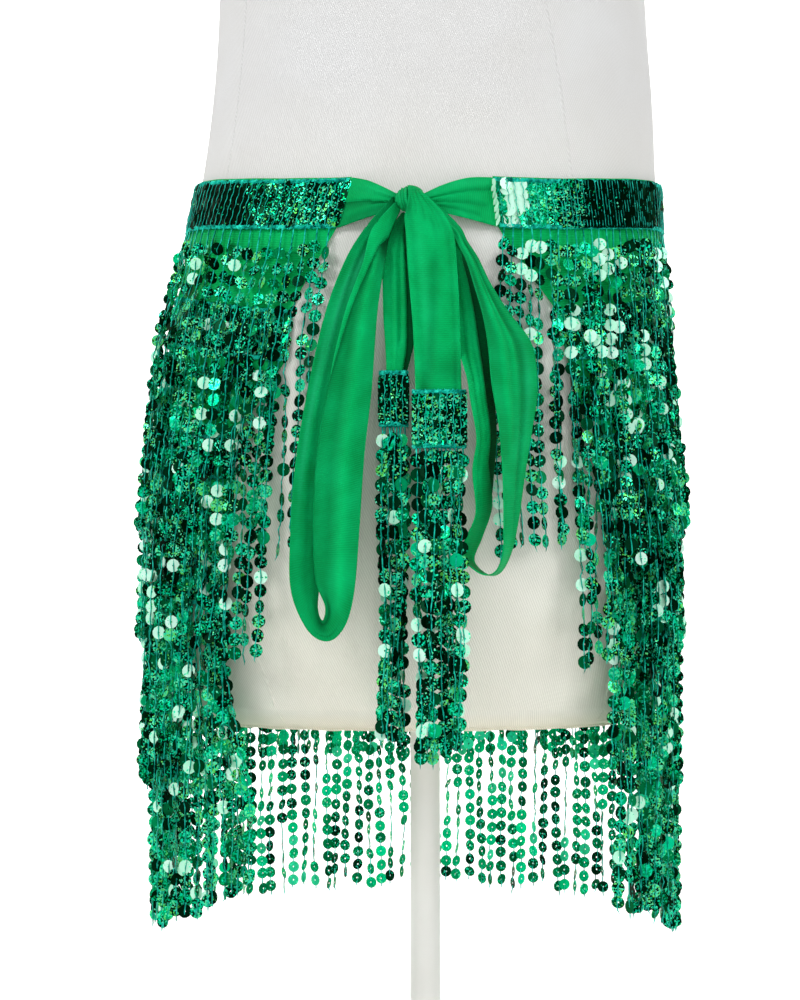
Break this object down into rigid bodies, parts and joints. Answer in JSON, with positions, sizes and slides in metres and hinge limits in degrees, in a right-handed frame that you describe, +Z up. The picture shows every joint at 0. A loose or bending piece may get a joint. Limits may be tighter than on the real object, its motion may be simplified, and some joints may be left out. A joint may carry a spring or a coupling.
{
  "type": "sequin hip scarf on a dress form",
  "caption": "Green sequin hip scarf with tiers of hanging sequin fringe, tied in a front bow with tasselled ends, on a limbless dress form on a plain round stand.",
  "frame": {"origin": "middle of the stand base's underside, where it rests on the floor", "axes": "+Z up along the stand, -Y towards the front where the bow is, +X towards the viewer's right"},
  "size_m": [0.3664, 0.3085, 0.8],
  "materials": {
    "cream_twill": "matt cream cotton twill",
    "cream_paint": "satin cream paint",
    "green_mesh_cloth": "sheer ribbed stretch mesh",
    "green_sequins": "metallic glossy sequins"
  },
  "bodies": {
    "root": {"form_body": "cream_twill", "stand_pole": "cream_paint", "stand_base": "cream_paint", "base_cloth": "green_mesh_cloth", "tie_left": "green_mesh_cloth", "tie_right": "green_mesh_cloth", "bow_knot": "green_mesh_cloth", "loop_left": "green_mesh_cloth", "loop_right": "green_mesh_cloth", "tail_left": "green_mesh_cloth", "tail_right": "green_mesh_cloth", "band_1": "green_sequins", "band_2": "green_sequins", "band_3": "green_sequins", "band_4": "green_sequins", "fringe_1": "green_sequins", "fringe_2": "green_sequins", "fringe_3": "green_sequins", "fringe_4": "green_sequins", "tassel_left": "green_sequins", "tassel_right": "green_sequins"}
  },
  "joints": []
}
